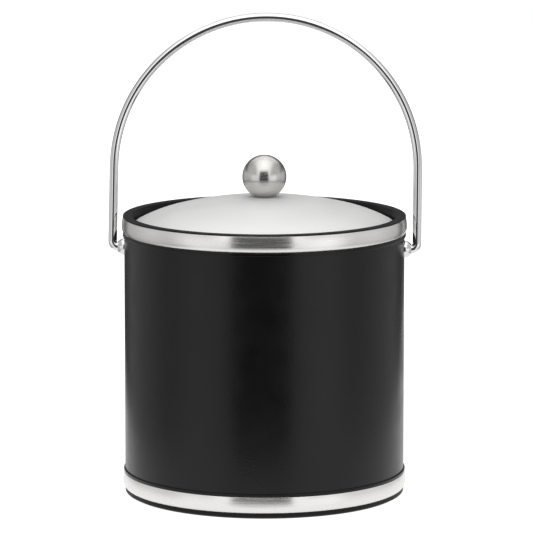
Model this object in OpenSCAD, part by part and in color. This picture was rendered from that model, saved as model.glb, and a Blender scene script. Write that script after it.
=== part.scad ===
// Insulated ice bucket with a lift-off domed lid and a swinging bail handle.
// +Z is up and the bail's pivot axis runs along X.
// The origin is the centre of the circle that the foot ring rests on.
// All sizes are millimetres.

/* [Body] */
// Outside radius of the body, over the leatherette skin
body_r = 89; // [86:0.5:92]
// Height from the table to the top of the upper metal band
body_h = 177.5; // [170:0.5:185]
// Thickness of the leatherette skin
skin_t = 0.8; // [0.6:0.1:1]
// Thickness of the fibreboard shell under the skin
shell_t = 2; // [1.7:0.1:2.2]

/* [Metal bands] */
// Height of the upper band
top_band_h = 10.5; // [8:0.5:12]
// Height of the lower band
bottom_band_h = 10; // [8:0.5:12]
// How far a band's upper edge stands out from the skin
band_edge = 0.8; // [0.7:0.1:1.2]
// How far a band's widest line stands out past its upper edge
band_crown = 0.7; // [0.4:0.1:1]
// Radius of a band's section below its widest line
band_curl_r = 6; // [4:0.5:8]
// Height of the black bead beside each band
bead_h = 2; // [1.6:0.1:2.6]

/* [Base] */
// Height of the lower band's bottom edge above the table
foot_h = 3.9; // [3:0.1:5]
// How far the rubber foot ring is set in from the body's side
foot_inset = 2; // [2:0.5:6]

/* [Liner] */
// Inside radius of the liner at its mouth
mouth_r = 78.5; // [76:0.5:79]
// Inside radius of the liner at its floor
floor_r = 74; // [72:0.5:75.5]
// Height of the inside floor above the table
floor_z = 15; // [14:0.5:20]
// Wall thickness of the liner
liner_t = 2; // [1.6:0.1:2.1]
// Depth of the lid seat below the upper band's top
seat_depth = 6.4; // [6:0.1:7]

/* [Lid] */
// Radius of the lid over its rolled hem
lid_r = 82; // [81.5:0.1:83]
// Radius of curvature of the dome's middle
crown_r = 235; // [220:5:260]
// Radius of curvature of the dome's shoulder
shoulder_r = 100; // [90:5:120]
// Distance from the axis at which the dome's shoulder begins
shoulder_start = 60; // [54:1:66]
// Radius of the knob
knob_r = 14; // [12:0.5:16]

/* [Bail handle] */
// Radius of the bail's rod
rod_r = 2.75; // [2.5:0.05:2.8]
// Gap between the skin and the rod's centre line
bail_gap = 7.85; // [7.5:0.05:9]
// Length of a leg from the pivot axis to the start of the arch
leg_h = 51; // [46:0.2:60]
// How far the bail leans back at rest, in degrees from upright
bail_lean = 14; // [0:1:20]
// Radius of the corner between a leg and its pivot end
corner_r = 3.6; // [3.4:0.1:4]
// Distance from the upper band's top down to the pivot axis
pivot_drop = 20.6; // [18:0.2:24]
// Radius of the chrome pivot balls
ball_r = 5.4; // [5:0.1:6]

/* [Hidden] */
$fn = 120;

// Shell, bands and rim
skin_in = body_r - skin_t;
shell_in = skin_in - shell_t;
wall_top_gap = 0.2;
band_r = body_r + band_edge;
band_t = 0.5;
band_lip = 0.8;
band_edge_r = 0.4;
bead_out = 0.9;
bead_edge_r = 0.45;
rim_t = 0.8;
rim_out = 0.9;
rim_w = 6;
rim_r = body_r + rim_out;
rim_in = rim_r - rim_w;
rim_edge_r = 0.38;
seat_z = body_h - seat_depth;
seat_t = 2;

// How far a cutting shape runs past the face that it cuts
over = 1;

// Base
foot_gap = 0.8;
foot_ring_r = body_r - foot_inset;
foot_ring_w = 6;
foot_ring_t = 2;
groove_wall_t = 2;
groove_wall_slope = 1;
pan_t = 2;
pan_plate_z = 2.5;
pan_edge_r = 1;
spigot_h = 9.4;
spigot_t = 2;

// Liner and insulation
liner_gap = 0.1;
liner_floor_t = 2.5;
liner_corner_r = 10;
sleeve_gap = 0.3;
sleeve_top_gap = 2;

// Lid
lid_t = 0.8;
hem_r = 0.6;
hem_w = 1.6;
land_r = 7.5;
lid_rise = 12.4;
cover_t = 1.4;
cover_gap = 1.1;
cover_r = mouth_r - cover_gap;
flange_gap = 0.3;
cover_flange_r = lid_r - hem_w - flange_gap;
cover_corner_r = 3;
cover_drop = 7;
plate_z = seat_z - cover_drop;
foam_gap = 0.5;
knob_base_r = 6;

// Knob screw
screw_r = 2.5;
screw_head_r = 4.6;
screw_head_h = 2.6;
screw_grip = 8;
screw_tip_gap = 0.5;
screw_slot_w = 1.2;
washer_r = 6;
washer_t = 0.8;

// Bail and pivots, as distances from the body's axis along X
pivot_z = body_h - pivot_drop;
bail_half = body_r + bail_gap;
running_gap = 0.05;
bush_t = 0.5;
bush_r = rod_r + running_gap + bush_t;
shank_t = 0.9;
shank_r = bush_r + shank_t;
backing_r = 6.2;
backing_t = 0.8;
nut_t = 1.8;
backing_x = sqrt(shell_in * shell_in - backing_r * backing_r) - running_gap;
nut_x = backing_x - backing_t;
shank_past_nut = 0.15;
shank_x = nut_x - nut_t - shank_past_nut;
bush_past_skin = 2.4;
bush_end_x = body_r + bush_past_skin;
ball_set_in = 0.1;
clip_r = 4.6;
clip_t = 0.7;
clip_gap = 0.25;
clip_x = shank_x - clip_gap;
rod_past_clip = 0.3;
rod_end_x = clip_x - clip_t - rod_past_clip;

// Points along an arc about [x, y], from angle a0 to a1, in n steps
function arc(x, y, r, a0, a1, n) =
    [for (i = [0:n]) [x + r * cos(a0 + (a1 - a0) * i / n), y + r * sin(a0 + (a1 - a0) * i / n)]];

// The same arc without its first point, for an outline that already ends there
function arc_on(x, y, r, a0, a1, n) =
    [for (i = [1:n]) [x + r * cos(a0 + (a1 - a0) * i / n), y + r * sin(a0 + (a1 - a0) * i / n)]];

// Radius of the liner's outside at a height, along its drafted wall
liner_draft_z0 = floor_z - liner_floor_t + liner_corner_r;
liner_draft_z1 = seat_z - seat_t;
function liner_out(z) =
    floor_r + liner_t + (mouth_r - floor_r) * (z - liner_draft_z0) / (liner_draft_z1 - liner_draft_z0);

// Dome profile: a flat land for the knob, a wide crown and a rounder shoulder.
// Angles are measured from the X direction of the profile plane.
crown_z = body_h + lid_rise - sqrt(crown_r * crown_r - land_r * land_r);
land_a = 90 - asin(land_r / crown_r);
crown_a = 90 - asin(shoulder_start / crown_r);
shoulder_x = (crown_r - shoulder_r) * cos(crown_a);
shoulder_z = crown_z + (crown_r - shoulder_r) * sin(crown_a);
edge_a = acos((lid_r - hem_r - shoulder_x) / (shoulder_r - hem_r));
hem_x = shoulder_x + (shoulder_r - hem_r) * cos(edge_a);
hem_z = shoulder_z + (shoulder_r - hem_r) * sin(edge_a);
lid_top = crown_z + crown_r * sin(land_a);
knob_z = lid_top + sqrt(knob_r * knob_r - knob_base_r * knob_base_r);

// Dome line set in by an offset, from the land out to a given radius
function dome_line(inset, end_r) = concat(
    arc(0, crown_z, crown_r - inset, land_a, crown_a, 8),
    arc_on(shoulder_x, shoulder_z, shoulder_r - inset, crown_a,
        acos((end_r - shoulder_x) / (shoulder_r - inset)), 6));

function reversed(list) = [for (i = [len(list) - 1:-1:0]) list[i]];

// A tube between two radii and two heights
module tube(r_out, r_in, z0, z1) {
    difference() {
        translate([0, 0, z0]) cylinder(r = r_out, h = z1 - z0);
        translate([0, 0, z0 - over]) cylinder(r = r_in, h = z1 - z0 + 2 * over);
    }
}

// A cylinder along X, from x0 to x1, on the pivot axis
module pivot_rod(r, x0, x1) {
    translate([x0, 0, pivot_z]) rotate([0, 90, 0]) cylinder(r = r, h = x1 - x0, $fn = 48);
}

// Draws a right-hand piece, or its mirror image on the left
module on_side(side) {
    if (side > 0) children();
    else mirror([1, 0, 0]) children();
}

// The pair of holes that the pivots' shanks pass through
module wall_holes() {
    for (side = [-1, 1]) on_side(side) pivot_rod(shank_r, shell_in - over, body_r + over);
}

module liner() {
    out_r = shell_in - liner_gap;
    top = body_h + rim_t;
    under = floor_z - liner_floor_t;
    inner_corner = liner_corner_r - liner_t;
    seat_edge_r = 0.8;
    rim_top_r = 0.6;
    seat_fillet = 1.2;
    outline = concat(
        [[0, under]],
        arc(floor_r + liner_t - liner_corner_r, under + liner_corner_r, liner_corner_r, -90, 0, 8),
        [
            [mouth_r + liner_t, seat_z - seat_t],
            [out_r, seat_z - seat_t],
            [out_r, body_h]
        ],
        arc(rim_r - rim_edge_r, body_h + rim_edge_r, rim_edge_r, -90, 0, 4),
        arc(rim_r - rim_edge_r, top - rim_edge_r, rim_edge_r, 0, 90, 4),
        arc(rim_in + rim_top_r, top - rim_top_r, rim_top_r, 90, 180, 5),
        arc(rim_in - seat_fillet, seat_z + seat_fillet, seat_fillet, 0, -90, 5),
        arc(mouth_r + seat_edge_r, seat_z - seat_edge_r, seat_edge_r, 90, 180, 5),
        arc(floor_r - inner_corner, floor_z + inner_corner, inner_corner, 0, -90, 8),
        [[0, floor_z]]
    );
    color("#1b1b1c") rotate_extrude() polygon(outline);
}

module outer_shell() {
    color("#8a7a62") difference() {
        tube(skin_in, shell_in, foot_h, body_h - wall_top_gap);
        wall_holes();
    }
}

module vinyl_cover() {
    color("#1d1d1e") difference() {
        tube(body_r, skin_in, foot_h, body_h - wall_top_gap);
        wall_holes();
    }
}

module insulation_sleeve() {
    z0 = foot_h + spigot_h + sleeve_gap;
    z1 = pivot_z - backing_r - sleeve_top_gap;
    color("#f2f2ee") rotate_extrude() polygon([
        [liner_out(z0) + sleeve_gap, z0],
        [shell_in, z0],
        [shell_in, z1],
        [liner_out(z1) + sleeve_gap, z1]
    ]);
}

module insulation_disc() {
    z0 = pan_plate_z + pan_t;
    color("#f2f2ee") translate([0, 0, z0])
        cylinder(r = shell_in - spigot_t, h = floor_z - liner_floor_t - z0);
}

// A bowed sheet-metal band: rolled in at the top, and curled in to the skin below
module band(z0, band_h) {
    reach = band_r + band_crown;
    curl_x = reach - band_curl_r;
    curl_a = acos((body_r - curl_x) / band_curl_r);
    wide_z = z0 + band_curl_r * sin(curl_a);
    top_z = z0 + band_h;
    rise = top_z - band_edge_r - wide_z;
    bow_r = (rise * rise + band_crown * band_crown) / (2 * band_crown);
    bow_x = reach - bow_r;
    inner_curl_r = band_curl_r - band_t;
    inner_bow_r = bow_r - band_t;
    outline = concat(
        [[body_r, top_z]],
        arc(band_r - band_edge_r, top_z - band_edge_r, band_edge_r, 90, 0, 4),
        arc_on(bow_x, wide_z, bow_r, asin(rise / bow_r), 0, 8),
        arc_on(curl_x, wide_z, band_curl_r, 0, -curl_a, 8),
        arc(curl_x, wide_z, inner_curl_r, -acos((body_r - curl_x) / inner_curl_r), 0, 6),
        arc_on(bow_x, wide_z, inner_bow_r, 0, asin((top_z - band_lip - wide_z) / inner_bow_r), 6),
        [[body_r, top_z - band_lip]]
    );
    color("#c9c9c6") rotate_extrude() polygon(outline);
}

module top_band() {
    band(body_h - top_band_h, top_band_h);
}

module bottom_band() {
    band(foot_h, bottom_band_h);
}

// A black plastic bead round the skin, rounded on its outer side
module bead(z0) {
    edge_x = body_r + bead_out - bead_edge_r;
    outline = concat(
        [[body_r, z0]],
        arc(edge_x, z0 + bead_edge_r, bead_edge_r, -90, 0, 4),
        arc(edge_x, z0 + bead_h - bead_edge_r, bead_edge_r, 0, 90, 4),
        [[body_r, z0 + bead_h]]
    );
    color("#161616") rotate_extrude() polygon(outline);
}

module top_bead() {
    bead(body_h - top_band_h - bead_h);
}

module bottom_bead() {
    bead(foot_h + bottom_band_h);
}

// The floor of the body: a pan whose spigot is pressed up inside the shell
module base_pan() {
    groove_in = foot_ring_r - foot_ring_w;
    upper_edge_r = 0.4;
    outline = concat(
        [
            [0, pan_plate_z],
            [groove_in - groove_wall_t - groove_wall_slope, pan_plate_z],
            [groove_in - groove_wall_t, foot_gap],
            [groove_in, foot_gap],
            [groove_in, foot_ring_t],
            [foot_ring_r, foot_ring_t],
            [foot_ring_r, foot_gap]
        ],
        arc(body_r - pan_edge_r, foot_gap + pan_edge_r, pan_edge_r, -90, 0, 6),
        arc(body_r - upper_edge_r, foot_h - upper_edge_r, upper_edge_r, 0, 90, 3),
        [
            [shell_in, foot_h],
            [shell_in, foot_h + spigot_h],
            [shell_in - spigot_t, foot_h + spigot_h],
            [shell_in - spigot_t, pan_plate_z + pan_t],
            [0, pan_plate_z + pan_t]
        ]
    );
    color("#1a1a1a") rotate_extrude() polygon(outline);
}

module foot_ring() {
    color("#141414") tube(foot_ring_r, foot_ring_r - foot_ring_w, 0, foot_ring_t);
}

// A domed eyelet: half a ball outside the skin and a shank through the wall
module pivot_ball() {
    color("#d9dbdd") difference() {
        union() {
            intersection() {
                translate([body_r - ball_set_in, 0, pivot_z]) rotate([0, 90, 0]) sphere(r = ball_r, $fn = 64);
                pivot_rod(ball_r + over, body_r, body_r + ball_r + over);
            }
            pivot_rod(shank_r, shank_x, body_r + over);
        }
        pivot_rod(bush_r, shank_x - over, bush_end_x);
        pivot_rod(rod_r + running_gap, bush_end_x - over, body_r + ball_r + over);
    }
}

module pivot_ball_left() {
    on_side(-1) pivot_ball();
}

module pivot_ball_right() {
    on_side(1) pivot_ball();
}

// A nylon sleeve that the bail's end turns in
module pivot_bush() {
    color("#ece8dc") difference() {
        pivot_rod(bush_r, shank_x, bush_end_x);
        pivot_rod(rod_r + running_gap, shank_x - over, bush_end_x + over);
    }
}

module pivot_bush_left() {
    on_side(-1) pivot_bush();
}

module pivot_bush_right() {
    on_side(1) pivot_bush();
}

module pivot_washers() {
    color("#b9bbbd") for (side = [-1, 1]) on_side(side) difference() {
        pivot_rod(backing_r, nut_x, backing_x);
        pivot_rod(shank_r, nut_x - over, backing_x + over);
    }
}

// Hexagon nuts on the shanks, inside the wall
module pivot_nuts() {
    color("#a9abad") for (side = [-1, 1]) on_side(side) difference() {
        translate([nut_x - nut_t, 0, pivot_z]) rotate([0, 90, 0]) cylinder(r = backing_r, h = nut_t, $fn = 6);
        pivot_rod(shank_r, nut_x - nut_t - over, nut_x + over);
    }
}

// One round rod: a half-circle arch, two straight legs and two turned-in ends.
// Heights here start at the pivot axis, and the whole rod then leans back about it.
module bail_handle() {
    color("#dfe1e3") translate([0, 0, pivot_z]) rotate([-bail_lean, 0, 0]) union() {
        translate([0, 0, leg_h]) rotate([90, 0, 0])
            rotate_extrude(angle = 180) translate([bail_half, 0]) circle(r = rod_r, $fn = 48);
        for (side = [-1, 1]) on_side(side) {
            translate([bail_half, 0, corner_r]) cylinder(r = rod_r, h = leg_h - corner_r, $fn = 48);
            translate([bail_half - corner_r, 0, corner_r]) rotate([90, 0, 0])
                rotate_extrude(angle = -90) translate([corner_r, 0]) circle(r = rod_r, $fn = 48);
            translate([rod_end_x, 0, 0]) rotate([0, 90, 0])
                cylinder(r = rod_r, h = bail_half - corner_r - rod_end_x, $fn = 48);
        }
    }
}

// Spring-steel push nuts that keep the rod's ends in their bushes
module bail_push_nuts() {
    color("#8f9193") for (side = [-1, 1]) on_side(side) difference() {
        pivot_rod(clip_r, clip_x - clip_t, clip_x);
        pivot_rod(rod_r, clip_x - clip_t - over, clip_x + over);
    }
}

module lid_dome() {
    under_r = lid_r - hem_w;
    outline = concat(
        [[screw_r, lid_top]],
        dome_line(0, shoulder_x + shoulder_r * cos(edge_a)),
        arc_on(hem_x, hem_z, hem_r, edge_a, -90, 7),
        [[under_r, hem_z - hem_r]],
        reversed(dome_line(lid_t, under_r)),
        [[screw_r, lid_top - lid_t]]
    );
    color("#e6e6e4") rotate_extrude() polygon(outline);
}

// A plastic tray under the dome: its flange sits on the liner's seat
module lid_inner_cover() {
    outline = concat(
        [[screw_r, plate_z]],
        arc(cover_r - cover_corner_r, plate_z + cover_corner_r, cover_corner_r, -90, 0, 5),
        [
            [cover_r, seat_z],
            [cover_flange_r, seat_z],
            [cover_flange_r, seat_z + cover_t],
            [cover_r - cover_t, seat_z + cover_t]
        ],
        arc(cover_r - cover_corner_r, plate_z + cover_corner_r, cover_corner_r - cover_t, 0, -90, 4),
        [[screw_r, plate_z + cover_t]]
    );
    color("#202021") rotate_extrude() polygon(outline);
}

module lid_insulation() {
    foam_r = cover_r - cover_corner_r;
    top_inset = lid_t + foam_gap;
    outline = concat(
        [[screw_r, plate_z + cover_t], [foam_r, plate_z + cover_t]],
        reversed(dome_line(top_inset, foam_r)),
        [[screw_r, lid_top - top_inset]]
    );
    color("#f2f2ee") rotate_extrude() polygon(outline);
}

module lid_knob() {
    color("#a8a59c") difference() {
        translate([0, 0, knob_z]) sphere(r = knob_r);
        translate([-knob_r, -knob_r, lid_top - knob_r]) cube([2 * knob_r, 2 * knob_r, knob_r]);
        translate([0, 0, lid_top - over])
            cylinder(r = screw_r, h = screw_grip + screw_tip_gap + over, $fn = 48);
    }
}

// A machine screw up through the lid, with a cross recess in its head
module knob_screw() {
    head_z = plate_z - washer_t - screw_head_h;
    shank_z = plate_z - washer_t - over;
    slot_l = screw_head_r;
    slot_d = screw_head_h / 2;
    color("#b4b6b8") difference() {
        union() {
            translate([0, 0, head_z]) cylinder(r = screw_head_r, h = screw_head_h, $fn = 48);
            translate([0, 0, shank_z])
                cylinder(r = screw_r, h = lid_top + screw_grip - shank_z, $fn = 48);
        }
        for (turn = [0, 90]) rotate([0, 0, turn])
            translate([-slot_l / 2, -screw_slot_w / 2, head_z - over])
                cube([slot_l, screw_slot_w, slot_d + over]);
    }
}

module knob_washer() {
    color("#3a3a3a") tube(washer_r, screw_r, plate_z - washer_t, plate_z);
}

liner();
outer_shell();
vinyl_cover();
insulation_sleeve();
insulation_disc();
top_band();
top_bead();
bottom_band();
bottom_bead();
base_pan();
foot_ring();
pivot_ball_left();
pivot_ball_right();
pivot_bush_left();
pivot_bush_right();
pivot_washers();
pivot_nuts();
bail_handle();
bail_push_nuts();
lid_dome();
lid_inner_cover();
lid_insulation();
lid_knob();
knob_screw();
knob_washer();
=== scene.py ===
# Looks of the insulated ice bucket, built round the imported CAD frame.
# Lengths are metres, mostly written as a number times MM, and +Z is up. An angle whose
# name ends in _a is in degrees, as arc() takes it, and every other angle is in radians.
from math import acos, asin, atan2, cos, degrees, pi, radians, sin, sqrt

import bmesh
import bpy
from mathutils import Matrix, Vector


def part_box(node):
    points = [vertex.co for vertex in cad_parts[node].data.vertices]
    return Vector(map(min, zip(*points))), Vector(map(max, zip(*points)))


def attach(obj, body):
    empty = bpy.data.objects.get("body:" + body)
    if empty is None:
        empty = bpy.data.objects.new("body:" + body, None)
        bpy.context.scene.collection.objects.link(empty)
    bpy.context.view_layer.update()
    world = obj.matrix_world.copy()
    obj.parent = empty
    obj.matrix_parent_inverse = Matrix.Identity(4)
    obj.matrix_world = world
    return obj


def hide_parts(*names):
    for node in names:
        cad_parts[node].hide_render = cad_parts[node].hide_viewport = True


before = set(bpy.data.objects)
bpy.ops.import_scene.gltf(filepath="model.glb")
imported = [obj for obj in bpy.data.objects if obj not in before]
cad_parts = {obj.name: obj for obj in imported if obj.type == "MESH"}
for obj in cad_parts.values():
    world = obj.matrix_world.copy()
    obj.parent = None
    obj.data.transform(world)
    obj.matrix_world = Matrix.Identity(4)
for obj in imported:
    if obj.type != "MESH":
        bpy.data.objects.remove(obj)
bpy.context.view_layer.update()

MM = 0.001
AROUND = 256        # steps round the body and the lid
AROUND_SMALL = 96   # steps round the knob and the pivot balls
AROUND_HOLE = 48    # steps round the pivot holes
AROUND_ROD = 40     # steps round the bail
SHARP_ANGLE = 30    # an edge that turns further than this stays sharp

# Sockets of a colour mix node, by number because its inputs share their names
FACTOR = 0
FIRST = 6
SECOND = 7
MIXED = 2


# Shapes ---------------------------------------------------------------------

def arc(x, y, r, start, end, steps):
    """Points along an arc about (x, y), from one angle to another in degrees."""
    turns = [radians(start + (end - start) / steps * i) for i in range(steps + 1)]
    return [(x + r * cos(turn), y + r * sin(turn)) for turn in turns]


def add_mesh(name, points, faces):
    """A closed mesh with its faces turned outward, smooth but for its sharp edges."""
    mesh = bpy.data.meshes.new(name)
    mesh.from_pydata(points, [], faces)
    shape = bmesh.new()
    shape.from_mesh(mesh)
    bmesh.ops.recalc_face_normals(shape, faces=shape.faces)
    shape.to_mesh(mesh)
    shape.free()
    mesh.shade_smooth()
    mesh.set_sharp_from_angle(angle=radians(SHARP_ANGLE))
    piece = bpy.data.objects.new(name, mesh)
    bpy.context.scene.collection.objects.link(piece)
    return piece


def about_z(radius, height, cosine, sine):
    """X, Y and Z of a point turned about the Z axis."""
    return radius * cosine, radius * sine, height


def lathe(name, outline, steps=AROUND, place=about_z, swell=None):
    """Turns a closed outline of (radius, height) points round an axis.
    place gives a point's X, Y, Z from its radius and height and the cosine and sine of its turn.
    swell gives what is added to a radius at a turn."""
    points, rings, faces = [], [], []
    for radius, height in outline:
        if radius == 0:
            rings.append([len(points)] * steps)
            points.append(place(0, height, 1, 0))
            continue
        rings.append(list(range(len(points), len(points) + steps)))
        for i in range(steps):
            turn = 2 * pi * i / steps
            grown = radius + (swell(radius, turn) if swell else 0)
            points.append(place(grown, height, cos(turn), sin(turn)))
    for low, high in zip(rings, rings[1:] + rings[:1]):
        for i in range(steps):
            j = (i + 1) % steps
            corners = list(dict.fromkeys([low[i], low[j], high[j], high[i]]))
            if len(corners) > 2:
                faces.append(corners)
    return add_mesh(name, points, faces)


def tube_along(name, path, radius):
    """A round rod along a path in the XZ plane, with its end edges taken off in two steps."""
    face_share = 0.7
    edge_share = 0.92
    edge_inset = 0.3 * MM
    last = len(path) - 1
    rings = [(0, face_share, 0), (0, edge_share, edge_inset)]
    rings += [(i, 1, 0) for i in range(1, last)]
    rings += [(last, edge_share, edge_inset), (last, face_share, 0)]
    points, faces = [], []
    for i, share, inset in rings:
        ahead, behind = path[min(i + 1, last)], path[max(i - 1, 0)]
        along = Vector((ahead[0] - behind[0], 0, ahead[1] - behind[1])).normalized()
        across = Vector((along.z, 0, -along.x))
        inward = along if i == 0 else -along
        centre = Vector((path[i][0], 0, path[i][1])) + inward * inset
        for k in range(AROUND_ROD):
            turn = 2 * pi * k / AROUND_ROD
            side = across * cos(turn) + Vector((0, 1, 0)) * sin(turn)
            points.append(centre + side * radius * share)
    starts = [i * AROUND_ROD for i in range(len(rings))]
    for low, high in zip(starts, starts[1:]):
        for k in range(AROUND_ROD):
            n = (k + 1) % AROUND_ROD
            faces.append([low + k, low + n, high + n, high + k])
    for start in (starts[0], starts[-1]):
        faces.append([start + k for k in range(AROUND_ROD)])
    return add_mesh(name, points, faces)


def cut_holes(piece, radius, height):
    """Cuts the two pivot holes through a wall, with one long cylinder along X."""
    right_through = 4 * body_r
    bpy.ops.mesh.primitive_cylinder_add(
        radius=radius, depth=right_through, vertices=AROUND_HOLE,
        location=(0, 0, height), rotation=(0, pi / 2, 0))
    cutter = bpy.context.object
    holes = piece.modifiers.new("holes", "BOOLEAN")
    holes.operation = "DIFFERENCE"
    holes.solver = "EXACT"
    holes.object = cutter
    cut = piece.evaluated_get(bpy.context.evaluated_depsgraph_get())
    piece.data = bpy.data.meshes.new_from_object(cut)
    piece.modifiers.clear()
    bpy.data.objects.remove(cutter)


def span(node):
    """Outer radius, lowest and highest point of a node that is round about the Z axis."""
    low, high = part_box(node)
    return high.y, low.z, high.z


# Materials ------------------------------------------------------------------

def finish(name, colour, roughness, metallic=0.0, specular=0.5, anisotropic=0.0):
    """A new material with its constant values set on its shader, before any is driven."""
    material = bpy.data.materials.new("look_" + name)
    material.use_nodes = True
    shader = material.node_tree.nodes["Principled BSDF"]
    shader.inputs["Base Color"].default_value = (*colour, 1)
    shader.inputs["Roughness"].default_value = roughness
    shader.inputs["Metallic"].default_value = metallic
    shader.inputs["Specular IOR Level"].default_value = specular
    shader.inputs["Anisotropic"].default_value = anisotropic
    if anisotropic:
        # Brushed round the axis, so highlights spread a quarter turn from the marks
        shader.inputs["Anisotropic Rotation"].default_value = 0.25
        tangent = material.node_tree.nodes.new("ShaderNodeTangent")
        tangent.direction_type = "RADIAL"
        tangent.axis = "Z"
        material.node_tree.links.new(tangent.outputs["Tangent"], shader.inputs["Tangent"])
    return material


def position(material, stretch=(1, 1, 1)):
    """The position in the piece, stretched along X, Y and Z."""
    tree = material.node_tree
    where = tree.nodes.new("ShaderNodeTexCoord")
    scale = tree.nodes.new("ShaderNodeMapping")
    scale.inputs["Scale"].default_value = stretch
    tree.links.new(where.outputs["Object"], scale.inputs["Vector"])
    return scale.outputs["Vector"]


def axis_distance(material):
    """The distance from the axis as a position, for marks that run round a turned face."""
    tree = material.node_tree
    reach = tree.nodes.new("ShaderNodeVectorMath")
    reach.operation = "LENGTH"
    rings = tree.nodes.new("ShaderNodeCombineXYZ")
    tree.links.new(position(material, (1, 1, 0)), reach.inputs[0])
    tree.links.new(reach.outputs["Value"], rings.inputs["X"])
    return rings.outputs["Vector"]


def noise(material, place, scale, detail=3):
    """A cloudy noise, mostly between 0.3 and 0.7."""
    tree = material.node_tree
    grain = tree.nodes.new("ShaderNodeTexNoise")
    grain.inputs["Scale"].default_value = scale
    grain.inputs["Detail"].default_value = detail
    tree.links.new(place, grain.inputs["Vector"])
    return grain.outputs["Fac"]


def pebbles(material, place, scale):
    """Rounded pebbles, as in an embossed leather grain."""
    tree = material.node_tree
    cells = tree.nodes.new("ShaderNodeTexVoronoi")
    cells.feature = "SMOOTH_F1"
    cells.inputs["Scale"].default_value = scale
    cells.inputs["Smoothness"].default_value = 0.6
    tree.links.new(place, cells.inputs["Vector"])
    return cells.outputs["Distance"]


def between(material, source, low, high):
    """Maps a noise's middle range to the range from low to high."""
    tree = material.node_tree
    remap = tree.nodes.new("ShaderNodeMapRange")
    remap.inputs["From Min"].default_value = 0.3
    remap.inputs["From Max"].default_value = 0.7
    remap.inputs["To Min"].default_value = low
    remap.inputs["To Max"].default_value = high
    tree.links.new(source, remap.inputs["Value"])
    return remap.outputs["Result"]


def drive(material, name, value):
    """Connects a varying value to an input of the material's shader."""
    shader = material.node_tree.nodes["Principled BSDF"]
    material.node_tree.links.new(value, shader.inputs[name])


def tint(material, source, dark, light):
    """Varies the base colour between two colours."""
    tree = material.node_tree
    mix = tree.nodes.new("ShaderNodeMix")
    mix.data_type = "RGBA"
    mix.inputs[FIRST].default_value = (*dark, 1)
    mix.inputs[SECOND].default_value = (*light, 1)
    tree.links.new(source, mix.inputs[FACTOR])
    drive(material, "Base Color", mix.outputs[MIXED])


def relief(material, source, depth, strength):
    """Raises the surface by depth metres where the source is 1."""
    tree = material.node_tree
    bump = tree.nodes.new("ShaderNodeBump")
    bump.inputs["Distance"].default_value = depth
    bump.inputs["Strength"].default_value = strength
    tree.links.new(source, bump.inputs["Height"])
    drive(material, "Normal", bump.outputs["Normal"])


def leatherette():
    """Black vinyl with a fine pebble grain."""
    material = finish("leatherette", (0.002, 0.002, 0.002), 0.3, specular=0.3)
    place = position(material)
    drive(material, "Roughness", between(material, noise(material, place, 60), 0.26, 0.34))
    relief(material, pebbles(material, place, 900), 0.06 * MM, 0.5)
    return material


def black_moulding():
    """Moulded black plastic with a matt face."""
    material = finish("black_moulding", (0.008, 0.008, 0.008), 0.5, specular=0.12)
    place = position(material)
    drive(material, "Roughness", between(material, noise(material, place, 90), 0.42, 0.55))
    relief(material, noise(material, place, 700), 0.01 * MM, 0.3)
    return material


def black_trim():
    """Smooth black plastic, for the beads beside the bands."""
    material = finish("black_trim", (0.002, 0.002, 0.002), 0.2, specular=0.25)
    grain = noise(material, position(material), 120)
    drive(material, "Roughness", between(material, grain, 0.15, 0.28))
    return material


def brushed_band():
    """Bright sheet metal with brush marks that run round the body."""
    material = finish("brushed_band", (0.82, 0.81, 0.79), 0.2, metallic=1.0, anisotropic=0.8)
    streaks = noise(material, position(material, (1, 1, 140)), 30, 4)
    drive(material, "Roughness", between(material, streaks, 0.18, 0.32))
    tint(material, streaks, (0.78, 0.77, 0.75), (0.86, 0.85, 0.83))
    relief(material, streaks, 0.004 * MM, 0.4)
    return material


def satin_lid():
    """Pale satin metal with very fine turning marks."""
    material = finish("satin_lid", (0.77, 0.77, 0.765), 0.46, metallic=0.35)
    rings = noise(material, axis_distance(material), 1800, 2)
    grain = noise(material, position(material), 80)
    drive(material, "Roughness", between(material, grain, 0.42, 0.5))
    relief(material, rings, 0.003 * MM, 0.3)
    return material


def brushed_knob():
    """Brushed steel, a little warm, with brush marks that run round the ball."""
    material = finish("brushed_knob", (0.62, 0.61, 0.585), 0.22, metallic=1.0, anisotropic=0.5)
    streaks = noise(material, position(material, (1, 1, 40)), 90, 4)
    drive(material, "Roughness", between(material, streaks, 0.14, 0.34))
    relief(material, streaks, 0.004 * MM, 0.3)
    return material


def metal(name, colour, low, high, scale=400):
    """A plated or spring-steel finish, with its roughness between low and high."""
    material = finish(name, colour, (low + high) / 2, metallic=1.0)
    grain = noise(material, position(material), scale)
    drive(material, "Roughness", between(material, grain, low, high))
    return material


def plain(name, dark, light, scale, roughness, depth):
    """A dull finish mottled between two colours, for rubber, board, foam and nylon."""
    material = finish(name, light, roughness)
    mottle = noise(material, position(material), scale)
    tint(material, mottle, dark, light)
    relief(material, mottle, depth, 0.6)
    return material


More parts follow.
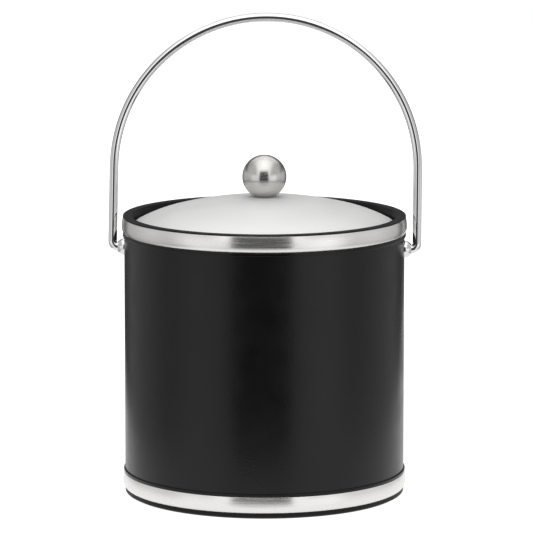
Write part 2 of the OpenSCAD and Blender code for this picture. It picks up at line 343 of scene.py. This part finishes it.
finishes = {
    "leatherette": leatherette(),
    "black_moulding": black_moulding(),
    "black_trim": black_trim(),
    "brushed_band": brushed_band(),
    "satin_lid": satin_lid(),
    "brushed_knob": brushed_knob(),
    "chrome": metal("chrome", (0.75, 0.75, 0.75), 0.02, 0.05, 150),
    "zinc_steel": metal("zinc_steel", (0.6, 0.61, 0.62), 0.25, 0.4),
    "spring_steel": metal("spring_steel", (0.32, 0.32, 0.33), 0.2, 0.35),
    "rubber": plain("rubber", (0.010, 0.010, 0.010), (0.018, 0.018, 0.018), 500, 0.7, 0.05 * MM),
    "fibreboard": plain("fibreboard", (0.20, 0.15, 0.09), (0.30, 0.23, 0.15), 300, 0.85, 0.1 * MM),
    "foam": plain("foam", (0.80, 0.80, 0.77), (0.88, 0.88, 0.86), 600, 0.9, 0.2 * MM),
    "nylon": plain("nylon", (0.74, 0.71, 0.62), (0.80, 0.77, 0.69), 200, 0.35, 0.01 * MM),
}

# Every CAD node wears the finish of its own slot
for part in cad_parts.values():
    for slot in part.material_slots:
        slot.material = finishes[slot.material.name]


def show(piece, node, slot, body):
    """Puts a piece in place of a CAD node, with its finish and the body it moves with."""
    piece.data.materials.clear()
    piece.data.materials.append(finishes[slot])
    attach(piece, body)
    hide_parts(node)
    return piece


# Body -----------------------------------------------------------------------

body_r, skin_z0, skin_z1 = span("vinyl_cover")
handle_low, handle_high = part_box("bail_handle")
rod_r = -handle_low.y
pivot_z = handle_low.z + rod_r

# Leatherette skin: one wrap whose outer end laps over the inner end at the back
skin_t = 0.8 * MM
lap_t = 0.3 * MM
lap_w = 12 * MM
seam_turn = pi / 2
pivot_hole_r = 4.2 * MM


def lap(radius, turn):
    """How far the lapped end stands out: a step at the seam that fades over the lap's width."""
    past_seam = (turn - seam_turn) * body_r
    is_inner_face = radius < body_r - skin_t / 2
    if is_inner_face or not 0 <= past_seam < lap_w:
        return 0
    return lap_t * cos(past_seam / lap_w * pi / 2)


skin = lathe("skin", [
    (body_r, skin_z0),
    (body_r, skin_z1),
    (body_r - skin_t, skin_z1),
    (body_r - skin_t, skin_z0),
], swell=lap)
cut_holes(skin, pivot_hole_r, pivot_z)
show(skin, "vinyl_cover", "leatherette", "bucket")


def band(name, node):
    """A bowed band of sheet metal: rolled in at the top, and curled in to the skin below."""
    reach, z0, z1 = span(node)
    sheet_t = 0.5 * MM
    lip = 0.8 * MM
    edge_r = 0.4 * MM
    edge_end_a = 10
    crown = 0.7 * MM
    curl_r = 6 * MM
    # The curl meets the skin at z0, and the bow at the band's widest line
    curl_x = reach - curl_r
    curl_a = degrees(acos((body_r - curl_x) / curl_r))
    wide_z = z0 + curl_r * sin(radians(curl_a))
    rise = z1 - edge_r - wide_z
    bow_r = (rise ** 2 + crown ** 2) / (2 * crown)
    bow_x = reach - bow_r
    bow_a = degrees(asin(rise / bow_r))
    inner_curl_a = degrees(acos((body_r - curl_x) / (curl_r - sheet_t)))
    inner_bow_a = degrees(asin((z1 - lip - wide_z) / (bow_r - sheet_t)))
    outline = [(body_r, z1)]
    outline += arc(reach - crown - edge_r, z1 - edge_r, edge_r, 90, edge_end_a, 6)
    outline += arc(bow_x, wide_z, bow_r, bow_a, 0, 14)
    outline += arc(curl_x, wide_z, curl_r, 0, -curl_a, 14)[1:]
    outline += arc(curl_x, wide_z, curl_r - sheet_t, -inner_curl_a, 0, 6)
    outline += arc(bow_x, wide_z, bow_r - sheet_t, 0, inner_bow_a, 6)[1:]
    outline += [(body_r, z1 - lip)]
    show(lathe(name, outline), node, "brushed_band", "bucket")


def bead(name, node):
    """A black bead with a rounded outer side."""
    reach, z0, z1 = span(node)
    edge_r = 0.45 * MM
    outline = [(body_r, z0)]
    outline += arc(reach - edge_r, z0 + edge_r, edge_r, -90, 0, 6)
    outline += arc(reach - edge_r, z1 - edge_r, edge_r, 0, 90, 6)
    outline += [(body_r, z1)]
    show(lathe(name, outline), node, "black_trim", "bucket")


band("upper_band", "top_band")
band("lower_band", "bottom_band")
bead("upper_bead", "top_bead")
bead("lower_bead", "bottom_bead")

# Liner: inner bucket, lid seat and rolled rim in one moulding
rim_r, liner_z0, rim_z = span("liner")
mouth_r = 78.5 * MM
floor_r = 74 * MM
wall_t = 2 * MM
floor_t = 2.5 * MM
floor_z = liner_z0 + floor_t
seat_drop = 7.2 * MM
seat_z = rim_z - seat_drop
seat_t = 2 * MM
drop_r = 86.1 * MM
rim_t = 0.8 * MM
rim_w = 6 * MM
rim_in = rim_r - rim_w
rim_edge_r = 0.38 * MM
rim_top_r = 0.6 * MM
seat_fillet = 1.2 * MM
seat_edge_r = 0.8 * MM
corner_r = 10 * MM
inner_corner = corner_r - wall_t
outline = [(0, liner_z0)]
outline += arc(floor_r + wall_t - corner_r, liner_z0 + corner_r, corner_r, -90, 0, 12)
outline += [(mouth_r + wall_t, seat_z - seat_t), (drop_r, seat_z - seat_t), (drop_r, rim_z - rim_t)]
outline += arc(rim_r - rim_edge_r, rim_z - rim_t + rim_edge_r, rim_edge_r, -90, 0, 5)
outline += arc(rim_r - rim_edge_r, rim_z - rim_edge_r, rim_edge_r, 0, 90, 5)
outline += arc(rim_in + rim_top_r, rim_z - rim_top_r, rim_top_r, 90, 180, 8)
outline += arc(rim_in - seat_fillet, seat_z + seat_fillet, seat_fillet, 0, -90, 8)
outline += arc(mouth_r + seat_edge_r, seat_z - seat_edge_r, seat_edge_r, 90, 180, 8)
outline += arc(floor_r - inner_corner, floor_z + inner_corner, inner_corner, 0, -90, 12)
outline += [(0, floor_z)]
show(lathe("inner_bucket", outline), "liner", "black_moulding", "bucket")

# Base pan and its rubber ring
pan_r, pan_z0, pan_z1 = span("base_pan")
ring_r, ring_z0, ring_z1 = span("foot_ring")
ring_w = 6 * MM
pan_rim_z = span("bottom_band")[1]
plate_z = 2.5 * MM
plate_t = 2 * MM
spigot_r = 86.2 * MM
spigot_t = 2 * MM
pan_edge_r = 1 * MM
pan_upper_r = 0.4 * MM
groove_in = ring_r - ring_w
groove_wall_t = 2 * MM
groove_slope_w = 1 * MM
groove_wall_in = groove_in - groove_wall_t
plate_r = groove_wall_in - groove_slope_w
outline = [(0, plate_z), (plate_r, plate_z), (groove_wall_in, pan_z0)]
outline += [(groove_in, pan_z0), (groove_in, ring_z1), (ring_r, ring_z1), (ring_r, pan_z0)]
outline += arc(pan_r - pan_edge_r, pan_z0 + pan_edge_r, pan_edge_r, -90, 0, 8)
outline += arc(pan_r - pan_upper_r, pan_rim_z - pan_upper_r, pan_upper_r, 0, 90, 5)
outline += [(spigot_r, pan_rim_z), (spigot_r, pan_z1), (spigot_r - spigot_t, pan_z1)]
outline += [(spigot_r - spigot_t, plate_z + plate_t), (0, plate_z + plate_t)]
show(lathe("floor_pan", outline), "base_pan", "black_moulding", "bucket")

ring_edge_r = 0.4 * MM
outline = [(ring_r, ring_z1), (groove_in, ring_z1)]
outline += arc(groove_in + ring_edge_r, ring_z0 + ring_edge_r, ring_edge_r, 180, 270, 5)
outline += arc(ring_r - ring_edge_r, ring_z0 + ring_edge_r, ring_edge_r, -90, 0, 5)
show(lathe("rubber_ring", outline), "foot_ring", "rubber", "bucket")


# Pivot balls ----------------------------------------------------------------

def pivot_ball(name, node, side):
    """Half a ball outside the skin, with a hollow shank through the wall."""
    low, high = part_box(node)
    tip = max(abs(low.x), abs(high.x))
    tail = min(abs(low.x), abs(high.x))
    ball_r = (high.y - low.y) / 2
    rod_gap = 0.05 * MM
    bush_t = 0.5 * MM
    shank_t = 0.9 * MM
    bush_reach = 2.4 * MM
    bore_r = rod_r + rod_gap
    bush_r = bore_r + bush_t
    shank_r = bush_r + shank_t
    bush_end = body_r + bush_reach
    bore_lip = 0.25 * MM
    bore_lip_a = 3
    centre = tip - sqrt(ball_r ** 2 - bore_r ** 2)
    bore_a = degrees(acos(bore_r / ball_r))
    outline = [(bore_r, bush_end), (bore_r, tip - bore_lip)]
    outline += arc(0, centre, ball_r, bore_a - bore_lip_a, 0, 20)
    outline += [(ball_r, body_r), (shank_r, body_r), (shank_r, tail)]
    outline += [(bush_r, tail), (bush_r, bush_end)]

    def about_pivot(radius, height, cosine, sine):
        return side * height, radius * cosine, pivot_z + radius * sine

    show(lathe(name, outline, AROUND_SMALL, about_pivot), node, "chrome", "bucket")


pivot_ball("ball_left", "pivot_ball_left", -1)
pivot_ball("ball_right", "pivot_ball_right", 1)


# Bail handle ----------------------------------------------------------------

# Drawn upright with the pivot axis at height 0, then leaned back as the CAD rod is.
# The path runs from one turned-in end up its leg, over the arch and down to the other.
bail_half = handle_high.x - rod_r
top_back = handle_high.y - rod_r
top_up = handle_high.z - rod_r - pivot_z
leg_h = sqrt(top_back ** 2 + top_up ** 2) - bail_half
lean_back = atan2(top_back, top_up)
end_x = 81.9 * MM
end_step = 2 * MM
bend_r = 3.6 * MM
right = [(end_x, 0), (end_x + end_step, 0)]
right += arc(bail_half - bend_r, bend_r, bend_r, -90, 0, 16)
right += arc(0, leg_h, bail_half, 0, 90, 80)
left = [(-x, z) for x, z in reversed(right[:-1])]
rod = tube_along("bail_rod", right + left, rod_r)
rod.data.transform(Matrix.Translation((0, 0, pivot_z)) @ Matrix.Rotation(-lean_back, 4, "X"))
show(rod, "bail_handle", "chrome", "handle")


# Lid ------------------------------------------------------------------------

# Dome: a crown, a tighter shoulder and a rolled hem, under a small land for the knob
lid_r, _, lid_z1 = span("lid_dome")
land_r = 7.5 * MM
crown_r = 235 * MM
shoulder_r = 100 * MM
shoulder_start = 60 * MM
lid_t = 0.8 * MM
hem_r = 0.6 * MM
hem_w = 1.6 * MM
screw_r = 2.5 * MM
crown_z = lid_z1 - sqrt(crown_r ** 2 - land_r ** 2)
land_a = 90 - degrees(asin(land_r / crown_r))
crown_a = 90 - degrees(asin(shoulder_start / crown_r))
shoulder_x = (crown_r - shoulder_r) * cos(radians(crown_a))
shoulder_z = crown_z + (crown_r - shoulder_r) * sin(radians(crown_a))
edge_a = degrees(acos((lid_r - hem_r - shoulder_x) / (shoulder_r - hem_r)))
hem_x = shoulder_x + (shoulder_r - hem_r) * cos(radians(edge_a))
hem_z = shoulder_z + (shoulder_r - hem_r) * sin(radians(edge_a))


def dome_line(inset, end_r):
    """The dome's profile, set in by an offset, from the land out to a radius."""
    end_a = degrees(acos((end_r - shoulder_x) / (shoulder_r - inset)))
    crown = arc(0, crown_z, crown_r - inset, land_a, crown_a, 16)
    return crown + arc(shoulder_x, shoulder_z, shoulder_r - inset, crown_a, end_a, 12)[1:]


outline = [(screw_r, lid_z1)]
outline += dome_line(0, shoulder_x + shoulder_r * cos(radians(edge_a)))
outline += arc(hem_x, hem_z, hem_r, edge_a, -90, 12)[1:]
outline += [(lid_r - hem_w, hem_z - hem_r)]
outline += dome_line(lid_t, lid_r - hem_w)[::-1]
outline += [(screw_r, lid_z1 - lid_t)]
show(lathe("dome", outline), "lid_dome", "satin_lid", "lid")

# Inner cover: a tray under the dome
flange_r, tray_z, flange_z = span("lid_inner_cover")
tray_r = 77.4 * MM
tray_t = 1.4 * MM
tray_corner = 3 * MM
flange_edge = 0.3 * MM
outline = [(screw_r, tray_z)]
outline += arc(tray_r - tray_corner, tray_z + tray_corner, tray_corner, -90, 0, 10)
outline += [(tray_r, flange_z - tray_t)]
outline += arc(flange_r - flange_edge, flange_z - tray_t + flange_edge, flange_edge, -90, 0, 4)
outline += arc(flange_r - flange_edge, flange_z - flange_edge, flange_edge, 0, 90, 4)
outline += [(tray_r - tray_t, flange_z)]
outline += arc(tray_r - tray_corner, tray_z + tray_corner, tray_corner - tray_t, 0, -90, 8)
outline += [(screw_r, tray_z + tray_t)]
show(lathe("tray", outline), "lid_inner_cover", "black_moulding", "lid")

# Knob: a brushed ball with a small flat underneath
knob_r, knob_z0, knob_z1 = span("lid_knob")
knob_z = knob_z1 - knob_r
base_a = degrees(asin((knob_z0 - knob_z) / knob_r))
base_edge_a = 1
base_edge = 0.3 * MM
hole_depth = 8.5 * MM
hole_top = knob_z0 + hole_depth
knob_base_r = knob_r * cos(radians(base_a))
outline = [(screw_r, knob_z0), (knob_base_r - base_edge, knob_z0)]
outline += arc(0, knob_z, knob_r, base_a + base_edge_a, 90, 60)[:-1]
outline += [(0, knob_z1), (0, hole_top), (screw_r, hole_top)]
show(lathe("knob", outline, AROUND_SMALL), "lid_knob", "brushed_knob", "lid")


# Studio ---------------------------------------------------------------------

def ramp(tree, value, stops, low, high):
    """A grey level that follows a value through (value, level) stops."""
    place = tree.nodes.new("ShaderNodeMapRange")
    place.inputs["From Min"].default_value = low
    place.inputs["From Max"].default_value = high
    levels = tree.nodes.new("ShaderNodeValToRGB")
    bar = levels.color_ramp
    bar.interpolation = "EASE"
    for i, (where, level) in enumerate(stops):
        mark = (where - low) / (high - low)
        stop = bar.elements[i] if i < 2 else bar.elements.new(mark)
        stop.position = mark
        stop.color = (level, level, level, 1)
    tree.links.new(value, place.inputs["Value"])
    tree.links.new(place.outputs["Result"], levels.inputs["Fac"])
    return levels.outputs["Color"]


def angle(tree, across, along):
    """The angle of a direction, in radians."""
    turn = tree.nodes.new("ShaderNodeMath")
    turn.operation = "ARCTAN2"
    tree.links.new(across, turn.inputs[0])
    tree.links.new(along, turn.inputs[1])
    return turn.outputs["Value"]


def negative(tree, value):
    """A value with its sign turned."""
    flip = tree.nodes.new("ShaderNodeMath")
    flip.operation = "MULTIPLY"
    flip.inputs[1].default_value = -1
    tree.links.new(value, flip.inputs[0])
    return flip.outputs["Value"]


def blend(tree, factor, first, second):
    """Goes from the first grey to the second as the factor goes from 0 to 1."""
    mix = tree.nodes.new("ShaderNodeMix")
    mix.data_type = "RGBA"
    tree.links.new(factor, mix.inputs[FACTOR])
    tree.links.new(first, mix.inputs[FIRST])
    tree.links.new(second, mix.inputs[SECOND])
    return mix.outputs[MIXED]


def product(tree, first, second):
    """Multiplies two greys."""
    mix = tree.nodes.new("ShaderNodeMix")
    mix.data_type = "RGBA"
    mix.blend_type = "MULTIPLY"
    mix.inputs[FACTOR].default_value = 1
    tree.links.new(first, mix.inputs[FIRST])
    tree.links.new(second, mix.inputs[SECOND])
    return mix.outputs[MIXED]


def in_radians(*stops):
    """Stops given at angles in degrees, with the angles turned to radians."""
    return [(radians(a), level) for a, level in stops]


def studio_light():
    """A white room to the camera, and soft boxes to everything else."""
    world = bpy.data.worlds.new("studio")
    bpy.context.scene.world = world
    world.use_nodes = True
    tree = world.node_tree
    where = tree.nodes.new("ShaderNodeTexCoord")
    parts = tree.nodes.new("ShaderNodeSeparateXYZ")
    tree.links.new(where.outputs["Generated"], parts.inputs["Vector"])
    x, y, z = (parts.outputs[axis] for axis in "XYZ")
    front = negative(tree, y)

    # Low down, round the horizon: 0 is the front, positive angles are on the +X side
    side_levels = in_radians(
        (-180, 0.12), (-148, 0.1), (-138, 0.45), (-100, 0.6), (-82, 0.54), (-54, 0.92),
        (-24, 0.84), (24, 0.9), (56, 1.12), (82, 0.64), (104, 0.66), (138, 0.5),
        (148, 0.1), (180, 0.12))
    sides = ramp(tree, angle(tree, x, front), side_levels, -pi, pi)
    rise = ramp(tree, z, [(-0.5, 0.85), (-0.16, 1.0), (0.15, 1.3)], -1, 1)

    # High up, over the top: 0 is straight up, positive angles lean to the front
    over_levels = in_radians(
        (-90, 0.12), (-65, 0.2), (-45, 1.2), (-30, 1.35), (20, 1.6), (60, 1.45), (90, 1.1))
    over = ramp(tree, angle(tree, front, z), over_levels, -pi / 2, pi / 2)
    beside_levels = [(-0.7, 0.4), (-0.4, 0.9), (-0.1, 1.05), (0.1, 1.05), (0.4, 0.9), (0.7, 0.4)]
    beside = ramp(tree, x, beside_levels, -1, 1)

    height = ramp(tree, z, [(0.1, 0), (0.25, 1)], 0, 1)
    light = blend(tree, height, product(tree, sides, rise), product(tree, over, beside))
    to_camera = tree.nodes.new("ShaderNodeLightPath")
    white = tree.nodes.new("ShaderNodeBackground")
    soft = tree.nodes["Background"]
    choose = tree.nodes.new("ShaderNodeMixShader")
    tree.links.new(light, soft.inputs["Color"])
    tree.links.new(to_camera.outputs["Is Camera Ray"], choose.inputs["Fac"])
    tree.links.new(soft.outputs["Background"], choose.inputs[1])
    tree.links.new(white.outputs["Background"], choose.inputs[2])
    white.inputs["Color"].default_value = (1, 1, 1, 1)
    tree.links.new(choose.outputs["Shader"], tree.nodes["World Output"].inputs["Surface"])


def plane(name, width, depth, location, rotation, material):
    """A flat card of the studio, which is no part of the bucket."""
    bpy.ops.mesh.primitive_plane_add(size=1, location=location, rotation=rotation)
    sheet = bpy.context.object
    sheet.name = name
    sheet.scale = (width, depth, 1)
    sheet.data.materials.append(material)
    return sheet


def for_reflections_only(card):
    """Hides a card from all but shiny surfaces."""
    card.visible_camera = False
    card.visible_diffuse = False
    card.visible_shadow = False
    card.visible_transmission = False


def glowing(name, glow, colour=(0, 0, 0), roughness=1.0):
    """A surface that gives off white light of its own."""
    material = finish(name, colour, roughness)
    shader = material.node_tree.nodes["Principled BSDF"]
    shader.inputs["Emission Color"].default_value = (1, 1, 1, 1)
    shader.inputs["Emission Strength"].default_value = glow
    return material


studio_light()
lying = (0, 0, 0)
standing = (pi / 2, 0, 0)

table = glowing("table", 0.9, (0.45, 0.45, 0.45), 0.8)
floor = plane("floor", 6, 6, (0, 0, 0), lying, table)
floor.visible_glossy = False

# What metal and plastic see of the table: it is smaller there than the floor is
sheen_at = (0.02, 0.37, -0.1 * MM)
for_reflections_only(plane("table_sheen", 0.51, 1.26, sheen_at, lying, glowing("sheen", 1.0)))

# The gap between the front soft boxes, where the room is dark
gap_at = (0.04, -1.5, 0.35)
for_reflections_only(plane("gap_card", 1.34, 1.9, gap_at, standing, glowing("gap", 0.05)))


# Camera ---------------------------------------------------------------------

# A long lens, a little right of the front and above the rim. It stands camera_reach from the
# bucket's axis and looks at aim_height on it, with both moved aim_right to the right.
camera_turn = radians(3.5)
camera_reach = 2.679
camera_height = 0.5686
aim_height = 0.1449
aim_right = 1.34 * MM
right_of_view = Vector((cos(camera_turn), sin(camera_turn), 0)) * aim_right
camera_data = bpy.data.cameras.new("camera")
camera_data.lens = 288.1
camera_data.sensor_width = 36
camera_data.clip_end = 100
camera = bpy.data.objects.new("camera", camera_data)
bpy.context.scene.collection.objects.link(camera)

camera_x = camera_reach * sin(camera_turn)
camera_y = -camera_reach * cos(camera_turn)
camera.location = Vector((camera_x, camera_y, camera_height)) + right_of_view
aim = Vector((0, 0, aim_height)) + right_of_view - camera.location
camera.rotation_mode = "QUATERNION"
camera.rotation_quaternion = aim.to_track_quat("-Z", "Y")
bpy.context.scene.camera = camera
bpy.context.scene.view_settings.view_transform = "Standard"
